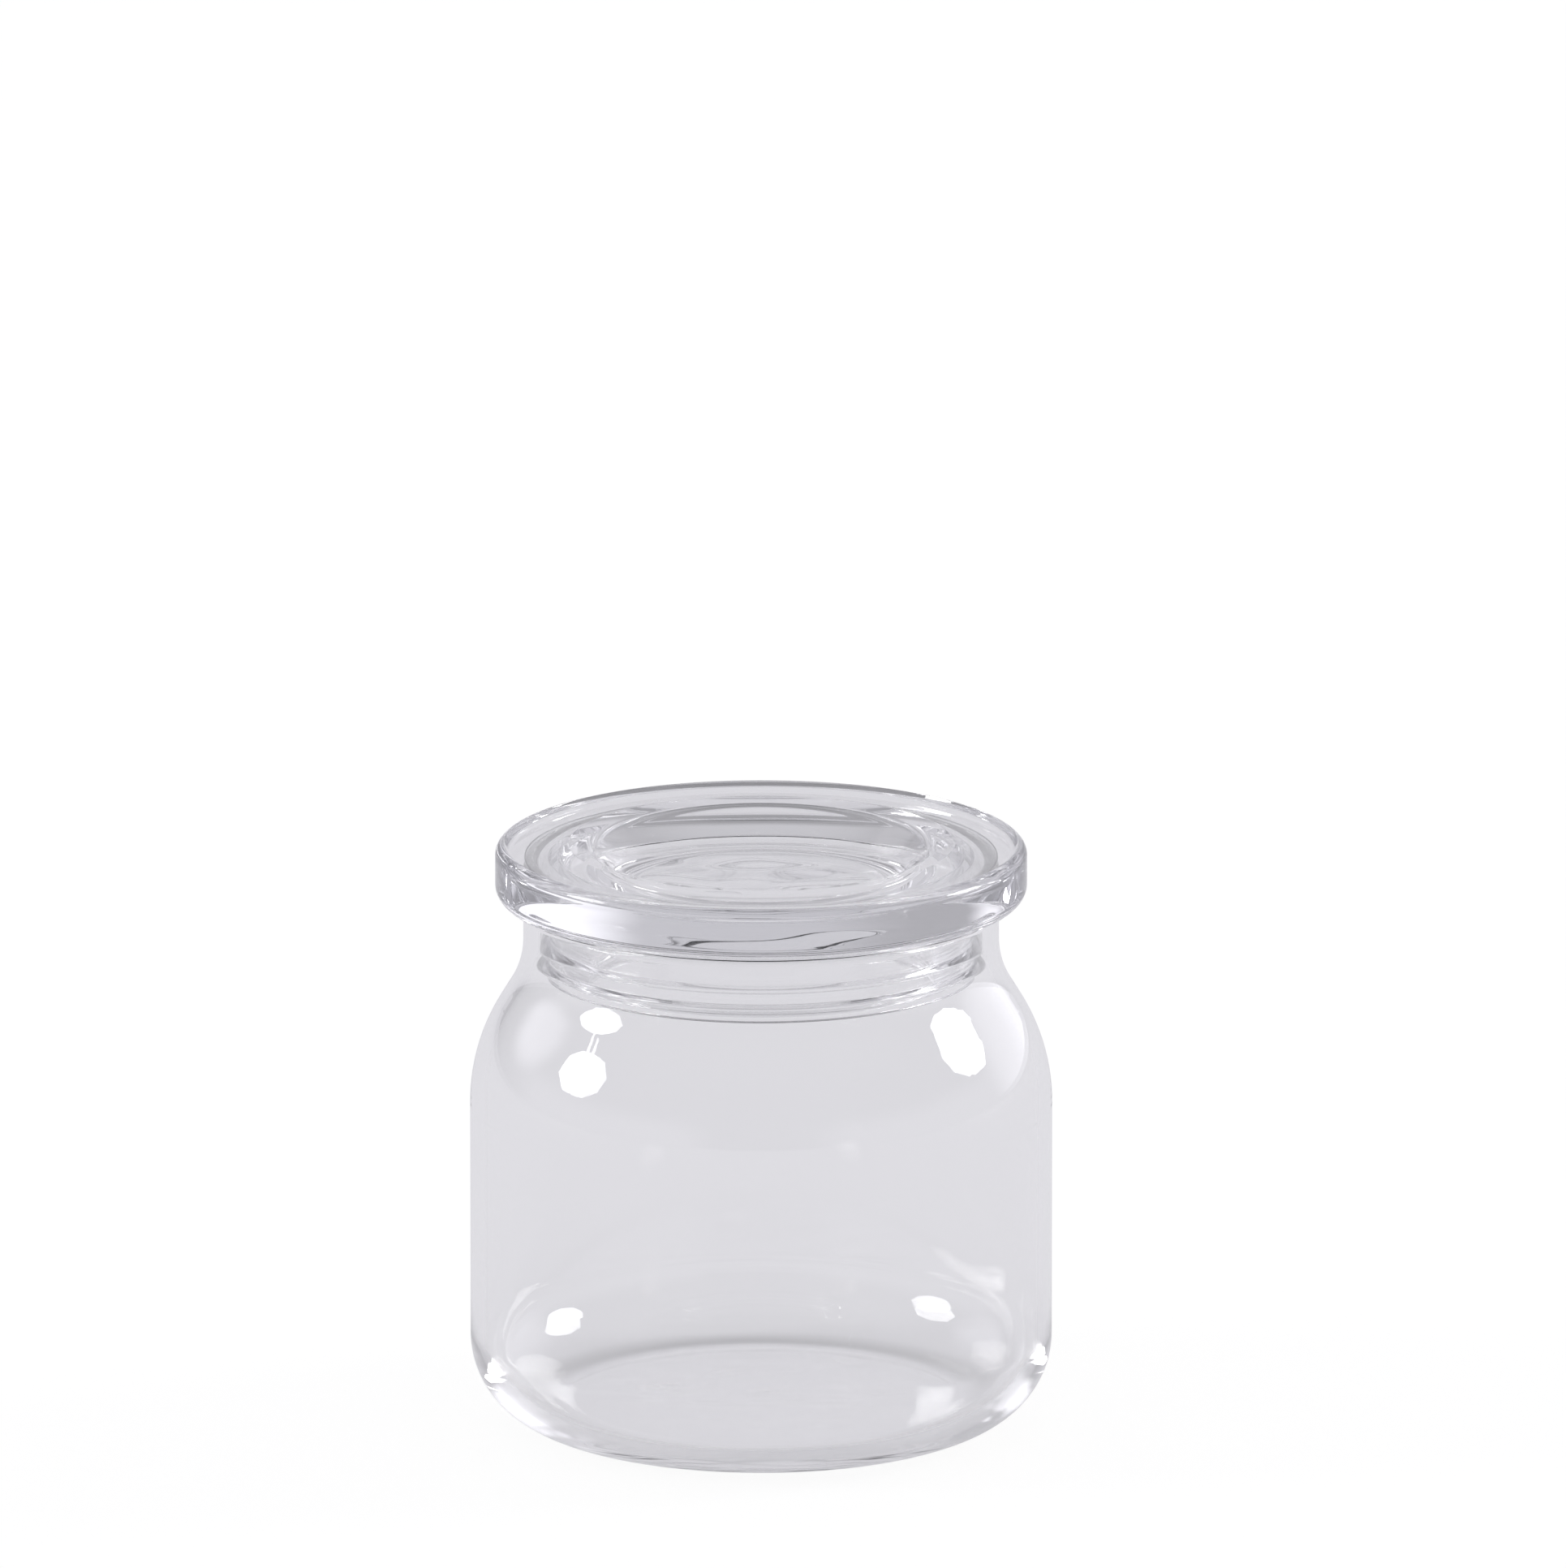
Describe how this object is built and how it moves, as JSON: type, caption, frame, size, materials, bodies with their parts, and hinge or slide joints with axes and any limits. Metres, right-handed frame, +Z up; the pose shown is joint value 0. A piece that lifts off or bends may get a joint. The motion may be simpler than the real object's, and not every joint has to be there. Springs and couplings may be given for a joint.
{
  "type": "glass kitchen jar",
  "caption": "Clear glass storage jar with a soft shoulder and a heavy glass stopper lid, sealed in the neck by a clear finned ring.",
  "frame": {"origin": "centre of the jar's foot, on the surface that it stands on", "axes": "+Z up along the jar's axis; X and Y are free, because every piece is round"},
  "size_m": [0.1, 0.1, 0.1017],
  "materials": {
    "jar_glass": "clear blown soda-lime glass, slightly grey, smooth and glossy",
    "lid_glass": "clear pressed glass, fire-polished, with faint ripples",
    "seal_plastic": "clear, faintly hazy soft plastic"
  },
  "bodies": {
    "root": {"jar": "jar_glass", "lid": "lid_glass", "seal": "seal_plastic"}
  },
  "joints": []
}
